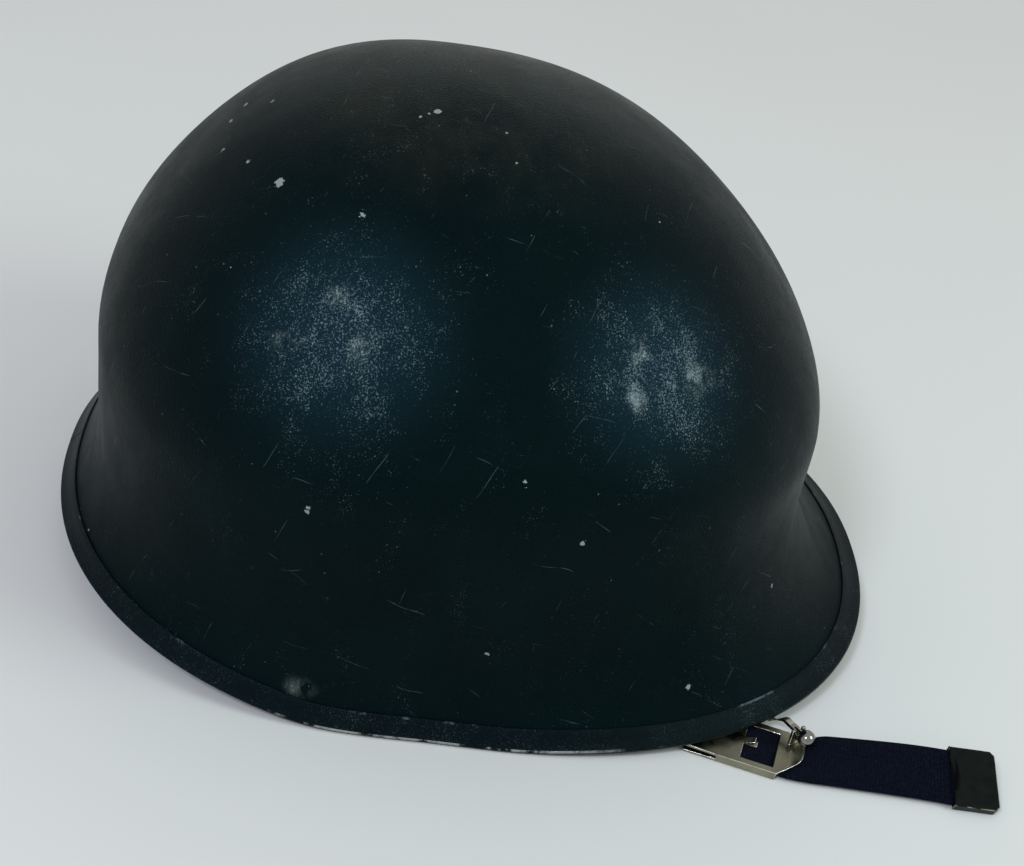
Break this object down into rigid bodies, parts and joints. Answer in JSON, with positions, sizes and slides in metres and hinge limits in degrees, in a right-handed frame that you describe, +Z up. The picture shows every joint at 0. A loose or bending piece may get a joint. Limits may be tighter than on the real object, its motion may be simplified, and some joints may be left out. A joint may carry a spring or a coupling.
{
  "type": "gendarmerie helmet",
  "caption": "Deep steel helmet with a flared visor rim, edged brim, inner liner with webbing, and a webbing chinstrap on swinging loops with a ball-hook release.",
  "frame": {"origin": "middle of the head opening, in the plane that the rim rests on, level with the strap loops", "axes": "-Y towards the visor, +Y towards the nape, +X towards the wearer's left, +Z up to the crown"},
  "size_m": [0.2457, 0.3226, 0.1788],
  "materials": {
    "shell_paint": "matt, finely pitted",
    "loop_steel": "dull, darkened",
    "navy_webbing": "ribbed weave",
    "nickel": "worn nickel plate",
    "tip_metal": "blackened, satin",
    "liner_fibre": "painted, matt",
    "liner_webbing": "woven cotton",
    "liner_metal": "dark, dull",
    "sweat_leather": "smooth, worn"
  },
  "bodies": {
    "shell": {"steel_shell": "shell_paint", "rim_edging": "shell_paint", "loop_bracket_left": "shell_paint", "loop_bracket_right": "shell_paint"},
    "liner": {"liner_shell": "liner_fibre", "support_band": "liner_webbing", "crown_strap_1": "liner_webbing", "crown_strap_2": "liner_webbing", "crown_strap_3": "liner_webbing", "suspension_washers": "liner_metal", "suspension_rivets": "liner_metal", "nape_strap": "liner_webbing", "nape_rivets": "liner_metal", "sweatband": "sweat_leather", "sweatband_clips": "liner_metal", "sweatband_buckle": "liner_metal", "liner_studs": "liner_metal", "front_eyelet": "liner_metal"},
    "bail_left": {"strap_bail_left": "loop_steel"},
    "bail_right": {"strap_bail_right": "loop_steel"},
    "chinstrap": {"buckle_strap": "navy_webbing", "hook_strap": "navy_webbing", "strap_buckle": "nickel"},
    "strap_end": {"strap_tip": "tip_metal"},
    "hook": {"ball_hook": "nickel"}
  },
  "joints": [
    {"name": "liner_drop", "type": "slide", "parent": "shell", "child": "liner", "axis": [0, 0, -1], "range_m": [0, 0.01], "deforming": ["buckle_strap", "hook_strap"]},
    {"name": "bail_left_swing", "type": "hinge", "parent": "shell", "child": "bail_left", "pos_m": [0.11108, 0, 0.0105], "axis": [0, 1, 0], "range_deg": [0, 50], "deforming": ["buckle_strap", "hook_strap"]},
    {"name": "bail_right_swing", "type": "hinge", "parent": "shell", "child": "bail_right", "pos_m": [-0.11108, 0, 0.0105], "axis": [0, -1, 0], "range_deg": [0, 50], "deforming": ["buckle_strap", "hook_strap"]},
    {"name": "chinstrap_swing", "type": "hinge", "parent": "shell", "child": "chinstrap", "pos_m": [0, 0, 0.0025], "axis": [1, 0, 0], "range_deg": [0, 95], "deforming": ["buckle_strap", "hook_strap"]},
    {"name": "strap_adjust", "type": "slide", "parent": "chinstrap", "child": "strap_end", "axis": [0.0523, 0.9986, 0], "range_m": [0, 0.04], "deforming": ["buckle_strap"]},
    {"name": "hook_release", "type": "slide", "parent": "chinstrap", "child": "hook", "axis": [-0.8387, -0.5446, 0], "range_m": [0, 0.003], "deforming": ["hook_strap"]}
  ]
}
